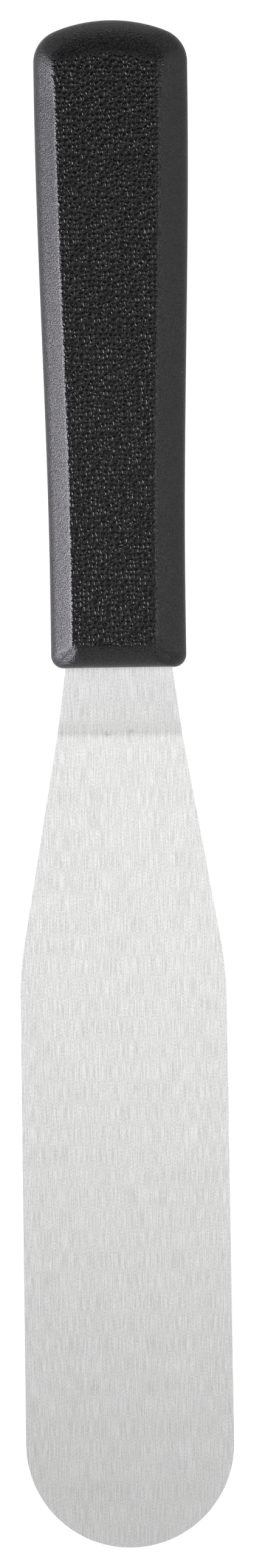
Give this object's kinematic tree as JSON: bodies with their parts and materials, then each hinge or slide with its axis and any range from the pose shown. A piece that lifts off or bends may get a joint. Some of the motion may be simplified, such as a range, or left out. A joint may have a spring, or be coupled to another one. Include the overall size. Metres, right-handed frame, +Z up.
{
  "type": "offset spatula",
  "caption": "Baker's offset spatula: a round-ended steel blade set below a bevelled black plastic handle with grained grip panels, for spreading icing.",
  "frame": {"origin": "under the middle of the overall length and width, on the plane of the blade's underside", "axes": "+Z up; +Y along the spatula towards the butt of the handle, with the tip of the blade at -Y; X across the blade"},
  "size_m": [0.038, 0.2782, 0.0213],
  "materials": {
    "steel": "brushed lengthwise",
    "handle_plastic": "moulded, grained on the top and bottom panels"
  },
  "bodies": {
    "root": {"blade": "steel", "handle": "handle_plastic"}
  },
  "joints": []
}
